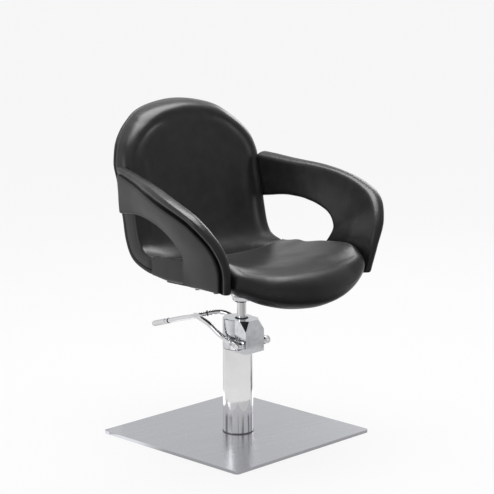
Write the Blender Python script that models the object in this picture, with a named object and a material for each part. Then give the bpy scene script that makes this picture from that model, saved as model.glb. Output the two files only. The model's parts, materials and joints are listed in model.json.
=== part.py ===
"""Styling chair: padded tub seat on a lever-pumped hydraulic column with a square floor plate.

Millimetre-true geometry in metres.  Z is up, the floor is z = 0, the seat faces -Y and
the swivel axis is the Z axis.  Floor plate, column, pump head and foot lever stand
turned by BASE_TURN about Z against the seat, as left after the last swivel.
"""
import bpy
import bmesh
from math import sin, cos, exp, pi, radians, atan2
from mathutils import Vector, Matrix

# ---------------------------------------------------------------- driving dimensions
BASE_TURN = radians(10.0)
PLATE_SIDE = 0.500
PLATE_THICK = 0.008
PLATE_CORNER = 0.010

COLUMN_Y = -0.0070
COLUMN_R = 0.0400
COLUMN_WALL = 0.0015
COLUMN_TOP = 0.2362
FOOT_RING_R = 0.0413
FOOT_RING_TOP = 0.0108

PISTON_Y = -0.0207
CYLINDER_R = 0.0225
CYLINDER_TOP = 0.2500
FLANGE_R = 0.0370
FLANGE_TOP = 0.0150
BORE_R = 0.0152
BORE_FLOOR = 0.0900

HEAD_R = 0.0405
HEAD_BOTTOM = 0.2365
HEAD_TOP = 0.3180
BOX_FRONT = -0.0690
BOX_HALF = 0.0340
BOX_BOTTOM = 0.2320
BOX_BREAK = 0.2915
BOX_LEAN = 0.0050
BOX_FACET = 0.0170

AXLE_Y = -0.0570
AXLE_Z = 0.2555
AXLE_R = 0.0045
LEVER_R = 0.0062
LEVER_SPREAD = 0.0500
PLUNGER_Y = -0.0628
PLUNGER_R = 0.0030

ROD_R = 0.0123
ROD_BOTTOM = 0.1050
ROD_TOP = 0.3850

SEAT_TILT = 0.068
HUB_BOTTOM = 0.3630
HUB_TOP = 0.4100
MOUNT_TOP = 0.4155
BOARD_TOP = 0.4250
SEAT_UNDERSIDE = 0.4265
NOSE_UNDERSIDE = 0.4020
GAP = 0.0003

BACK_HALF = 0.2100
BACK_WRAP = 0.0120
BACK_SKIN = 0.0125
SHOULDER_Z = 0.6600
SHOULDER_FLARE = 0.0045
CROWN_FLARE = 0.0015
SHRINKS = (0.30, 0.60, 0.84)
ARM_THICK = 0.0360
PANEL_THICK = 0.0110


# ---------------------------------------------------------------- helpers
def clear_scene():
    for item in list(bpy.data.objects):
        bpy.data.objects.remove(item, do_unlink=True)


def material(name, colour, metallic, roughness):
    mat = bpy.data.materials.new(name)
    mat.use_nodes = True
    shader = mat.node_tree.nodes["Principled BSDF"]
    shader.inputs["Base Color"].default_value = (colour[0], colour[1], colour[2], 1.0)
    shader.inputs["Metallic"].default_value = metallic
    shader.inputs["Roughness"].default_value = roughness
    return mat


def finish(name, bm, mat, smooth=True):
    bmesh.ops.recalc_face_normals(bm, faces=bm.faces[:])
    mesh = bpy.data.meshes.new(name)
    bm.to_mesh(mesh)
    bm.free()
    mesh.materials.append(mat)
    obj = bpy.data.objects.new(name, mesh)
    bpy.context.scene.collection.objects.link(obj)
    for poly in mesh.polygons:
        poly.use_smooth = smooth
    return obj


def split_quad(bm, a, b, c, d):
    """Two triangles over the shorter diagonal, so facing skins fold alike."""
    first = (a.co - c.co).length
    second = (b.co - d.co).length
    if abs(first - second) < 1e-5:
        lowest = min((a, b, c, d), key=lambda v: (round(v.co.x + 0.37 * v.co.z, 7)))
        use_first = lowest in (a, c)
    else:
        use_first = first < second
    if use_first:
        bm.faces.new((a, b, c))
        bm.faces.new((a, c, d))
    else:
        bm.faces.new((a, b, d))
        bm.faces.new((b, c, d))


def skin(name, rings, mat, start=None, end=None):
    """Close a stack of equal rings into one body; ends are fans to a point."""
    bm = bmesh.new()
    rows = [[bm.verts.new(p) for p in ring] for ring in rings]
    count = len(rows[0])
    for low, high in zip(rows[:-1], rows[1:]):
        for i in range(count):
            j = (i + 1) % count
            split_quad(bm, low[i], low[j], high[j], high[i])
    for row, tip in ((rows[0], start), (rows[-1], end)):
        if tip is None:
            tip = sum((v.co for v in row), Vector()) / count
        apex = bm.verts.new(tip)
        for i in range(count):
            bm.faces.new((row[i], row[(i + 1) % count], apex))
    return finish(name, bm, mat)


def spline(points, t):
    """Smooth curve through evenly counted control points, t from 0 to 1."""
    last = len(points) - 1
    place = min(max(t, 0.0), 1.0) * last
    k = min(int(place), last - 1)
    f = place - k
    p1 = Vector(points[k])
    p2 = Vector(points[k + 1])
    p0 = Vector(points[k - 1]) if k > 0 else p1 * 2.0 - p2
    p3 = Vector(points[k + 2]) if k + 2 <= last else p2 * 2.0 - p1
    a = p1 * 2.0
    b = (p2 - p0) * f
    c = (p0 * 2.0 - p1 * 5.0 + p2 * 4.0 - p3) * f * f
    d = (p1 * 3.0 - p0 - p2 * 3.0 + p3) * f * f * f
    return (a + b + c + d) * 0.5


def half_outline(points, steps):
    """Mirror a half outline (starting and ending on x = 0) into a closed loop."""
    first = Vector((-points[1].x, points[1].y))
    after = Vector((-points[-2].x, points[-2].y))
    full = [first] + points + [after]
    lead = 1.0 / (len(full) - 1)
    half = [spline(full, lead + (1.0 - 2.0 * lead) * k / steps) for k in range(steps + 1)]
    half[0].x = 0.0
    half[-1].x = 0.0
    other = [Vector((-p.x, p.y)) for p in reversed(half[1:-1])]
    return half + other


def pillow(name, loop, place, top, bottom, roll_top, roll_bottom, mat, out_top=0.0, out_low=0.0):
    """Closed cushion on a plan loop: crowned top, rolled edges, and underside."""
    count = len(loop)
    area = sum(loop[i - 1].x * loop[i].y - loop[i].x * loop[i - 1].y for i in range(count))
    turn = 1.0 if area > 0 else -1.0
    inward = []
    for i in range(count):
        side = loop[(i + 1) % count] - loop[i - 1]
        inward.append(Vector((-side.y, side.x)).normalized() * turn)
    middle = sum(loop, Vector((0.0, 0.0))) / count

    def ring(inset, shrink, level):
        row = []
        for i in range(count):
            flat = loop[i] + inward[i] * inset[i]
            flat = middle + (flat - middle) * shrink
            row.append(place(flat.x, flat.y, level(i, flat)))
        return row

    upper = [roll_top(p) for p in loop]
    lower = [roll_bottom(p) for p in loop]
    rim = [loop[i] + inward[i] * upper[i] for i in range(count)]
    sole = [loop[i] + inward[i] * lower[i] for i in range(count)]
    rings = []
    for shrink in SHRINKS:
        rings.append(ring([r - out_top for r in upper], shrink, lambda i, p: top(p.x, p.y)))
    for step in range(5):
        angle = pi / 2 * step / 4
        inset = [r * (1 - sin(angle)) - out_top for r in upper]
        rings.append(ring(inset, 1.0, lambda i, p: top(rim[i].x, rim[i].y)
                          - upper[i] * (1 - cos(angle))))
    for step in range(4):
        angle = pi / 2 * (3 - step) / 3
        inset = [r * (1 - sin(angle)) - out_low for r in lower]
        rings.append(ring(inset, 1.0, lambda i, p: bottom(sole[i].x, sole[i].y)
                          + lower[i] * (1 - cos(angle))))
    for shrink in reversed(SHRINKS):
        rings.append(ring([r - out_low for r in lower], shrink, lambda i, p: bottom(p.x, p.y)))
    start = place(middle.x, middle.y, top(middle.x, middle.y))
    end = place(middle.x, middle.y, bottom(middle.x, middle.y))
    return skin(name, rings, mat, start, end)


# ---------------------------------------------------------------- upholstery shapes
def blend(a, b, t):
    t = min(max(t, 0.0), 1.0)
    return a + (b - a) * t * t * (3.0 - 2.0 * t)


# up the back at its centre line and at its sides: height, front point and rear point as (y, z)
BACK_MIDDLE = ((0.430, (0.0985, 0.4450), (0.1190, 0.4262)), (0.452, (0.1130, 0.4680), (0.1500, 0.4335)),
               (0.474, (0.1300, 0.4850), (0.1960, 0.4570)), (0.498, (0.1500, 0.5050), (0.2320, 0.4830)),
               (0.532, (0.1680, 0.5360), (0.2500, 0.5220)), (0.570, (0.1820, 0.5700), (0.2640, 0.5680)),
               (0.645, (0.2050, 0.6450), (0.2865, 0.6450)), (0.740, (0.2300, 0.7400), (0.3070, 0.7400)),
               (0.815, (0.2500, 0.8150), (0.3235, 0.8150)), (0.870, (0.2635, 0.8700), (0.3300, 0.8700)))
BACK_SIDE = ((0.430, (0.1100, 0.4885), (0.1130, 0.4395)), (0.452, (0.1350, 0.4900), (0.1500, 0.4450)),
             (0.474, (0.1560, 0.4960), (0.1960, 0.4575)), (0.498, (0.1720, 0.5080), (0.2260, 0.4780)),
             (0.532, (0.1840, 0.5340), (0.2480, 0.5170)), (0.570, (0.1930, 0.5700), (0.2600, 0.5660)),
             (0.645, (0.2080, 0.6450), (0.2830, 0.6450)), (0.740, (0.2355, 0.7400), (0.2965, 0.7400)),
             (0.815, (0.2545, 0.8150), (0.3150, 0.8150)), (0.870, (0.2665, 0.8700), (0.3250, 0.8700)))


def station(rows, z):
    """Front and rear point at one nominal height, as (y, z) vectors."""
    last = len(rows) - 1
    z = min(max(z, rows[0][0]), rows[-1][0])
    k = max(i for i in range(last) if rows[i][0] <= z or i == 0)
    t = (k + (z - rows[k][0]) / (rows[k + 1][0] - rows[k][0])) / last
    return spline([row[1] for row in rows], t), spline([row[2] for row in rows], t)


def back_ends(x, z):
    """Front and rear point of the back at one width and nominal height."""
    share = min(abs(x) / BACK_HALF, 1.0) ** 3
    front, rear = station(BACK_MIDDLE, z)
    side_front, side_rear = station(BACK_SIDE, z)
    return front.lerp(side_front, share), rear.lerp(side_rear, share)


def back_thick(x, z):
    front, rear = back_ends(x, z)
    return (rear - front).length


def back_place(x, z, depth):
    """Point at one depth behind the back's face; the sheet wraps round the sitter and flares."""
    front, rear = back_ends(x, z)
    way = rear - front
    share = depth / way.length
    spot = front + way * share
    bow = BACK_WRAP + 0.002 * share
    out = Vector((x, z - SHOULDER_Z))
    angle = atan2(z - SHOULDER_Z, abs(x))
    swell = SHOULDER_FLARE * exp(-((angle - radians(50.0)) / radians(21.0)) ** 2)
    swell += CROWN_FLARE * max(sin(angle), 0.0)
    spread = swell * min(out.length / 0.19, 1.0) ** 4 * min(max(share, 0.0), 1.0)
    if out.length > 0.0:
        out.normalize()
    return Vector((x + out.x * spread, spot.x - bow * (x / BACK_HALF) ** 2, spot.y + out.y * spread))


def seat_top(x, y):
    rise = 0.469 + 0.022 * blend(0.0, 1.0, (0.05 - y) / 0.28)
    edge = 0.019 + 0.014 * blend(0.0, 1.0, (0.100 - y) / 0.10) + 0.006 * blend(0.0, 1.0, -y / 0.10)
    fade = blend(1.0, 0.10, (-0.215 - y) / 0.085)
    return rise + edge * fade * abs(x / 0.207) ** 2.2


def seat_sole(x, y):
    plane = SEAT_UNDERSIDE - SEAT_TILT * y
    nose = blend(0.0, 1.0, (-0.170 - y) / 0.095)
    edge = 0.012 + 0.009 * blend(0.0, 1.0, (y - 0.03) / 0.08) + 0.012 * blend(0.0, 1.0, -y / 0.15)
    middle = plane + (NOSE_UNDERSIDE - plane) * nose
    return middle + (edge + 0.030 * nose) * abs(x / 0.207) ** 2.2


def build_back(leather, panel):
    points = [(0.0, 0.4325), (0.110, 0.4325), (0.196, 0.4325), (0.2105, 0.4400), (0.2115, 0.4750),
              (0.2112, 0.530), (0.2110, 0.600), (0.2115, 0.660), (0.2180, 0.714), (0.1945, 0.7728),
              (0.1142, 0.8376), (0.0, 0.8625)]
    loop = half_outline([Vector(p) for p in points], 24)

    def place(x, z, h):
        return back_place(x, z, -h)

    pillow("backrest_cushion", loop, place,
           lambda x, z: 0.0,
           lambda x, z: BACK_SKIN - back_thick(x, z),
           lambda p: 0.007 + 0.013 * blend(0.0, 1.0, (p.y - 0.46) / 0.24),
           lambda p: 0.002, leather)
    pillow("backrest_rear_panel", loop, place,
           lambda x, z: BACK_SKIN - GAP - back_thick(x, z),
           lambda x, z: -back_thick(x, z),
           lambda p: 0.002,
           lambda p: 0.0065, panel)


def build_seat(leather):
    points = [(0.0, 0.0940), (0.110, 0.0940), (0.200, 0.0955), (0.2085, 0.0920), (0.2090, 0.055),
              (0.2075, 0.000), (0.2040, -0.065), (0.2030, -0.140), (0.2030, -0.222), (0.1850, -0.270),
              (0.1090, -0.3115), (0.0, -0.328)]
    loop = half_outline([Vector(p) for p in points], 26)

    def place(x, y, z):
        return Vector((x, y, z))

    def nose(p):
        return blend(0.0, 1.0, (-0.19 - p.y) / 0.08)

    pillow("seat_cushion", loop, place, seat_top,
           seat_sole,
           lambda p: 0.010 + 0.036 * nose(p),
           lambda p: 0.010 + 0.030 * nose(p), leather)


ARM_TOP = ((0.2305, 0.212, 0.712), (0.248, 0.105, 0.705), (0.275, 0.000, 0.699),
           (0.291, -0.110, 0.680), (0.284, -0.203, 0.647), (0.255, -0.257, 0.589),
           (0.231, -0.267, 0.528), (0.219, -0.257, 0.462))
ARM_EDGE = ((0.2305, 0.208, 0.590), (0.238, 0.105, 0.605), (0.243, 0.020, 0.601),
            (0.247, -0.050, 0.583), (0.243, -0.086, 0.556), (0.232, -0.092, 0.525),
            (0.222, -0.070, 0.490), (0.2165, -0.060, 0.450))


def groove(u):
    """How far below the ridge the outer panel starts."""
    return 0.019 + 0.011 * blend(0.0, 1.0, u / 0.45)


def arm_frame(u):
    """Ridge point, edge direction, outward direction, width and thickness."""
    ridge = spline(ARM_TOP, u)
    edge = spline(ARM_EDGE, u)
    along_dir = (edge - ridge).normalized()
    out = Vector((1.0, 0.0, 0.0))
    out = (out - along_dir * out.dot(along_dir)).normalized()
    thick = blend(ARM_THICK, 0.021, (u - 0.55) / 0.4)
    return ridge, along_dir, out, (edge - ridge).length, thick


def arm_section(u, outline, side):
    ridge, down, out, width, thick = arm_frame(u)
    crown = 0.008 * sin(pi * min(u, 1.0)) ** 0.5 if 0 < u < 1 else 0.0
    row = []
    for s, n in outline(u, width, thick):
        bow = crown * sin(pi * min(max(s / width, 0.0), 1.0))
        p = ridge + down * s + out * (n + bow)
        row.append(Vector((p.x * side, p.y, p.z)))
    return row


def pad_outline(u, width, thick):
    r = thick / 2
    split = r - PANEL_THICK
    step = groove(u)
    edge_r = 0.008
    points = [(step, split), (step, r - 0.001)]
    for k in range(5):
        angle = pi * k / 4
        points.append((r - r * sin(angle), r * cos(angle)))
    points.append((width * 0.5, -r))
    points.append((width - edge_r, -r))
    points.append((width - edge_r * 0.3, -r + edge_r * 0.3))
    points.append((width, -r + edge_r))
    points.append((width, split))
    points.append((width * 0.74, split))
    points.append((width * 0.48, split))
    return points


def panel_outline(u, width, thick):
    r = thick / 2
    low = r - PANEL_THICK + GAP
    start = groove(u) + GAP
    return [(start, low), (start, r - 0.003), (start + 0.003, r), (width * 0.48, r),
            (width * 0.74, r), (width - 0.004, r), (width, r - 0.004), (width, low),
            (width * 0.74, low), (width * 0.48, low)]


def build_arm(word, side, leather, panel):
    steps = 18
    rows = [arm_section(k / steps, pad_outline, side) for k in range(steps + 1)]
    skin(word + "_arm_pad", rows, leather)
    rows = [arm_section(k / steps, panel_outline, side) for k in range(steps + 1)]
    skin(word + "_arm_outer_panel", rows, panel)


# ---------------------------------------------------------------- base and pump
BASE_AT = Matrix.Rotation(BASE_TURN, 4, "Z") @ Matrix.Translation((0.0, -PISTON_Y, 0.0))


def stand(obj, at=(0.0, 0.0, 0.0)):
    """Put a piece drawn in plate coordinates (about `at`) into its place."""
    obj.matrix_world = BASE_AT @ Matrix.Translation(at)
    return obj


def lathe(name, profile, mat, centre=(0.0, 0.0, 0.0), sides=48, turn=None):
    """Closed (radius, height) outline turned about its own axis."""
    bm = bmesh.new()
    rows = []
    for r, z in profile:
        if r < 1e-7:
            rows.append([bm.verts.new((0.0, 0.0, z))])
            continue
        rows.append([bm.verts.new((r * cos(2 * pi * k / sides), r * sin(2 * pi * k / sides), z))
                     for k in range(sides)])
    pairs = list(zip(rows[:-1], rows[1:]))
    if len(rows[0]) > 1 or len(rows[-1]) > 1:
        pairs.append((rows[-1], rows[0]))
    for low, high in pairs:
        for k in range(sides):
            j = (k + 1) % sides
            if len(low) == 1 and len(high) == 1:
                break
            if len(low) == 1:
                bm.faces.new((low[0], high[j], high[k]))
            elif len(high) == 1:
                bm.faces.new((low[k], low[j], high[0]))
            else:
                bm.faces.new((low[k], low[j], high[j], high[k]))
    if turn is not None:
        bmesh.ops.transform(bm, matrix=turn, verts=bm.verts[:])
    bmesh.ops.translate(bm, vec=Vector(centre), verts=bm.verts[:])
    obj = finish(name, bm, mat)
    obj.data.set_sharp_from_angle(angle=radians(35))
    return obj


def prism(name, outline, low, high, mat, axis="Z", bevel=0.0):
    """Flat outline raised between two levels along one axis."""
    bm = bmesh.new()
    ends = []
    for level in (low, high):
        if axis == "Z":
            ends.append([bm.verts.new((a, b, level)) for a, b in outline])
        else:
            ends.append([bm.verts.new((level, a, b)) for a, b in outline])
    count = len(outline)
    for k in range(count):
        j = (k + 1) % count
        bm.faces.new((ends[0][k], ends[0][j], ends[1][j], ends[1][k]))
    bm.faces.new(ends[0][::-1])
    bm.faces.new(ends[1])
    if bevel > 0.0:
        rims = [e for e in bm.edges if abs(e.calc_face_angle(0.0)) > radians(40)]
        bmesh.ops.bevel(bm, geom=rims, offset=bevel, segments=1, affect="EDGES")
    return finish(name, bm, mat, smooth=False)


def rounded_rectangle(cx, cy, hx, hy, r, steps=6):
    points = []
    for sx, sy, start in ((1, 1, 0.0), (-1, 1, 90.0), (-1, -1, 180.0), (1, -1, 270.0)):
        for k in range(steps + 1):
            a = radians(start + 90.0 * k / steps)
            points.append((cx + sx * (hx - r) + r * cos(a), cy + sy * (hy - r) + r * sin(a)))
    return points


def tube_along(name, points, radius, mat, steps=24, sides=16):
    """Round bar following a smooth curve."""
    path = [spline(points, k / steps) for k in range(steps + 1)]
    side = Vector((0.0, 0.0, 1.0))
    rings = []
    for k, p in enumerate(path):
        ahead = path[min(k + 1, steps)] - path[max(k - 1, 0)]
        ahead.normalize()
        side = (side - ahead * side.dot(ahead)).normalized()
        other = ahead.cross(side)
        rings.append([p + (side * cos(2 * pi * i / sides) + other * sin(2 * pi * i / sides)) * radius
                      for i in range(sides)])
    return skin(name, rings, mat)


def combine(obj, tool, operation):
    """Join or cut two solids and keep the result in the first one."""
    step = obj.modifiers.new("shape", "BOOLEAN")
    step.object = tool
    step.operation = operation
    step.solver = "EXACT"
    bpy.context.view_layer.update()
    graph = bpy.context.evaluated_depsgraph_get()
    mesh = bpy.data.meshes.new_from_object(obj.evaluated_get(graph))
    obj.modifiers.clear()
    obj.data = mesh
    bpy.data.objects.remove(tool, do_unlink=True)
    return obj


def disc(r, low, high, chamfer=0.0):
    """Outline of a plain or chamfered round bar for the lathe."""
    if chamfer == 0.0:
        return [(0.0, low), (r, low), (r, high), (0.0, high)]
    return [(0.0, low), (r - chamfer, low), (r, low + chamfer), (r, high - chamfer),
            (r - chamfer, high), (0.0, high)]


def build_base(steel, chrome, cast, dark):
    outline = rounded_rectangle(0.0, 0.0, PLATE_SIDE / 2, PLATE_SIDE / 2, PLATE_CORNER)
    plate = prism("floor_plate", outline, 0.0, PLATE_THICK, steel, bevel=0.0008)
    stand(plate)

    centre = (0.0, COLUMN_Y, 0.0)
    low = PLATE_THICK + GAP
    stand(lathe("column_foot_ring", [(COLUMN_R + GAP, low), (FOOT_RING_R, low),
                                     (FOOT_RING_R, FOOT_RING_TOP - 0.0008),
                                     (FOOT_RING_R - 0.0004, FOOT_RING_TOP),
                                     (COLUMN_R + GAP, FOOT_RING_TOP)], dark, centre, 48))
    stand(lathe("column_cover_tube", [(COLUMN_R - COLUMN_WALL, low), (COLUMN_R, low),
                                      (COLUMN_R, COLUMN_TOP), (COLUMN_R - COLUMN_WALL, COLUMN_TOP)],
                chrome, centre, 72))

    flange = lathe("pump_cylinder", disc(FLANGE_R, low, FLANGE_TOP), cast, centre, 40)
    barrel = lathe("barrel", disc(CYLINDER_R, low + 0.001, CYLINDER_TOP), cast,
                   (0.0, PISTON_Y, 0.0), 40)
    combine(flange, barrel, "UNION")
    bore = lathe("bore", disc(BORE_R, BORE_FLOOR, CYLINDER_TOP + 0.01), cast,
                 (0.0, PISTON_Y, 0.0), 36)
    combine(flange, bore, "DIFFERENCE")
    for k in range(4):
        a = radians(60.0 * k)
        at = (0.0305 * cos(a), COLUMN_Y + 0.0305 * sin(a), 0.0)
        hole = lathe("hole", disc(0.0027, low - 0.001, FLANGE_TOP + 0.001), cast, at, 16)
        combine(flange, hole, "DIFFERENCE")
        screw = lathe("pump_flange_screw_%d" % (k + 1),
                      [(0.0, low + 0.0005), (0.0024, low + 0.0005), (0.0024, FLANGE_TOP + GAP),
                       (0.0042, FLANGE_TOP + GAP), (0.0042, FLANGE_TOP + 0.0038),
                       (0.0036, FLANGE_TOP + 0.0044), (0.0, FLANGE_TOP + 0.0044)],
                      steel, at, 16)
        stand(screw)
    stand(flange)
    build_head(chrome, dark)


def build_head(chrome, dark):
    centre = (0.0, COLUMN_Y, 0.0)
    head = lathe("pump_head", disc(HEAD_R, HEAD_BOTTOM, HEAD_TOP, 0.0015), chrome, centre, 72)

    bm = bmesh.new()
    front, half, lean, cut = BOX_FRONT, BOX_HALF, BOX_LEAN, BOX_FACET
    rear = COLUMN_Y - 0.012
    foot = [(-half, rear), (half, rear), (half, front), (-half, front)]
    base = [bm.verts.new((x, y, BOX_BOTTOM)) for x, y in foot]
    brow = [bm.verts.new((x, y, BOX_BREAK)) for x, y in foot]
    top = [(-half, rear), (half, rear), (half, front + lean + cut), (half - cut, front + lean),
           (cut - half, front + lean), (-half, front + lean + cut)]
    crest = [bm.verts.new((x, y, HEAD_TOP)) for x, y in top]
    bm.faces.new(base[::-1])
    bm.faces.new(crest)
    for k in range(4):
        j = (k + 1) % 4
        bm.faces.new((base[k], base[j], brow[j], brow[k]))
    bm.faces.new((brow[0], brow[1], crest[1], crest[0]))
    bm.faces.new((brow[1], brow[2], crest[2], crest[1]))
    bm.faces.new((brow[2], crest[3], crest[2]))
    bm.faces.new((brow[2], brow[3], crest[4], crest[3]))
    bm.faces.new((brow[3], crest[5], crest[4]))
    bm.faces.new((brow[3], brow[0], crest[0], crest[5]))
    rims = [e for e in bm.edges if abs(e.calc_face_angle(0.0)) > radians(12)]
    bmesh.ops.bevel(bm, geom=rims, offset=0.0006, segments=1, affect="EDGES")
    box = finish("box", bm, chrome, smooth=False)
    notch = lathe("notch", disc(COLUMN_R + 0.0006, BOX_BOTTOM - 0.01, HEAD_BOTTOM + 0.0001),
                  chrome, centre, 72)
    combine(box, notch, "DIFFERENCE")
    combine(head, box, "UNION")

    piston = (0.0, PISTON_Y, 0.0)
    socket = [(0.0, HEAD_BOTTOM - 0.01), (CYLINDER_R + 0.0005, HEAD_BOTTOM - 0.01),
              (CYLINDER_R + 0.0005, CYLINDER_TOP + 0.0005), (ROD_R + 0.0004, CYLINDER_TOP + 0.0005),
              (ROD_R + 0.0004, HEAD_TOP - 0.008), (0.0185, HEAD_TOP - 0.008),
              (0.0185, HEAD_TOP + 0.01), (0.0, HEAD_TOP + 0.01)]
    combine(head, lathe("socket", socket, chrome, piston, 48), "DIFFERENCE")
    across = Matrix.Rotation(radians(90.0), 4, "Y")
    hole = lathe("hole", disc(AXLE_R + GAP, -0.05, 0.05), chrome, (0.0, AXLE_Y, AXLE_Z), 24, across)
    combine(head, hole, "DIFFERENCE")
    pocket = prism("pocket", [(-0.0100, -0.0662), (0.0100, -0.0662), (0.0100, -0.0495),
                              (-0.0100, -0.0495)], BOX_BOTTOM - 0.01, AXLE_Z + 0.0100, chrome)
    combine(head, pocket, "DIFFERENCE")
    well = lathe("well", disc(PLUNGER_R + GAP, AXLE_Z, BOX_BREAK - 0.003), chrome,
                 (0.0, PLUNGER_Y, 0.0), 20)
    combine(head, well, "DIFFERENCE")
    head.data.set_sharp_from_angle(angle=radians(30))
    stand(head)

    ring_low = HEAD_TOP - 0.008 + GAP
    stand(lathe("piston_gland", [(ROD_R + GAP, ring_low), (0.0182, ring_low),
                                 (0.0182, HEAD_TOP + 0.0004), (0.0172, HEAD_TOP + 0.0012),
                                 (ROD_R + GAP, HEAD_TOP + 0.0012)], dark, piston, 48))


def build_lever(chrome, dark, steel):
    """Pedal: a bent bar from tip to far eye, a second arm welded on, and the axle."""
    pivot = Vector((0.0, AXLE_Y, AXLE_Z))

    def local(points):
        return [Vector(p) - pivot for p in points]

    spread = LEVER_SPREAD
    bend = [(spread, -0.038, 0.2570), (spread, 0.005, 0.2700), (spread, 0.048, 0.2930),
            (0.046, 0.092, 0.3050), (0.026, 0.127, 0.3010), (0.000, 0.159, 0.2905)]
    far = bend + [(-0.002, 0.205, 0.2780), (-0.001, 0.255, 0.2625), (0.0, 0.303, 0.2475)]
    near = [(-x, y, z + 0.003) for x, y, z in bend[:-1]] + [(0.004, 0.161, 0.2900)]
    fork = tube_along("foot_lever_fork", local(far), LEVER_R, chrome, 34, 12)
    arm = tube_along("arm", local(near), LEVER_R - 0.0001, chrome, 22, 12)
    combine(fork, arm, "UNION")
    for side in (1, -1):
        eye = rounded_rectangle(-0.0485 - pivot.y, 0.2557 - pivot.z, 0.0190, 0.0112, 0.0105)
        inner = (BOX_HALF + 0.0015) * side
        outer = (spread + 0.0035) * side
        block = prism("block", eye, min(inner, outer), max(inner, outer), chrome, "X", 0.0008)
        combine(fork, block, "UNION")
    across = Matrix.Rotation(radians(90.0), 4, "Y")
    hole = lathe("hole", disc(AXLE_R + GAP, -0.07, 0.07), chrome, (0.0, 0.0, 0.0), 24, across)
    combine(fork, hole, "DIFFERENCE")
    fork.data.set_sharp_from_angle(angle=radians(30))
    stand(fork, pivot)

    end = (spread + 0.0038)
    stand(lathe("lever_axle", disc(AXLE_R, -end, end, 0.0004), steel, (0.0, 0.0, 0.0), 24, across),
          pivot)
    stand(lathe("axle_knob_right", disc(0.0110, end + GAP, end + 0.0075, 0.0015), chrome,
                (0.0, 0.0, 0.0), 32, across), pivot)
    stand(lathe("axle_cap_left", disc(0.0075, -end - 0.0035, -end - GAP, 0.0010), chrome,
                (0.0, 0.0, 0.0), 32, across), pivot)
    cam = [(-0.0085, 0.0010), (-0.0050, 0.0062), (0.0, 0.0066), (0.0052, 0.0045), (0.0068, 0.0),
           (0.0048, -0.0050), (0.0, -0.0068), (-0.0048, -0.0050), (-0.0078, -0.0020)]
    cam = prism("pump_cam", cam, -0.0080, 0.0080, steel, "X")
    hole = lathe("hole", disc(AXLE_R + GAP, -0.02, 0.02), steel, (0.0, 0.0, 0.0), 24, across)
    combine(cam, hole, "DIFFERENCE")
    stand(cam, pivot)

    path = [spline(local(far), 0.875 + 0.125 * k / 8) for k in range(9)]
    heading = (path[-1] - path[0]).normalized()
    lay = Vector((0.0, 0.0, 1.0)).rotation_difference(heading).to_matrix().to_4x4()
    bore = LEVER_R + 0.0004
    sleeve = [(bore, -0.036), (0.0076, -0.036), (0.0080, -0.034), (0.0080, 0.012),
              (0.0066, 0.0165), (0.0038, 0.0185), (0.0, 0.0190), (0.0, 0.0045), (bore, 0.0045)]
    stand(lathe("foot_lever_tip_sleeve", sleeve, chrome, path[-1], 32, lay), pivot)
    for name, place in (("foot_lever_ring_front", 0.8775), ("foot_lever_ring_rear", 0.515)):
        at = spline(local(far), place)
        way = (spline(local(far), place + 0.01) - spline(local(far), place - 0.01)).normalized()
        lay = Vector((0.0, 0.0, 1.0)).rotation_difference(way).to_matrix().to_4x4()
        band = [(LEVER_R + 0.0004, -0.0018), (LEVER_R + 0.0014, -0.0018),
                (LEVER_R + 0.0014, 0.0018), (LEVER_R + 0.0004, 0.0018)]
        stand(lathe(name, band, dark, at, 32, lay), pivot)


def build_plunger(steel):
    foot = AXLE_Z + 0.0066
    stand(lathe("pump_plunger", disc(PLUNGER_R, foot, foot + 0.0210, 0.0004), steel,
                (0.0, PLUNGER_Y, 0.0), 20))


def build_lift(chrome, steel):
    rod = lathe("piston_rod", disc(ROD_R, ROD_BOTTOM, ROD_TOP, 0.0008), chrome, sides=48)
    ring = lathe("piston_ring", [(0.0, ROD_BOTTOM - 0.010), (BORE_R - GAP, ROD_BOTTOM - 0.010),
                                 (BORE_R - GAP, ROD_BOTTOM - GAP), (0.0, ROD_BOTTOM - GAP)],
                 steel, sides=48)
    return rod, ring


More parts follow.
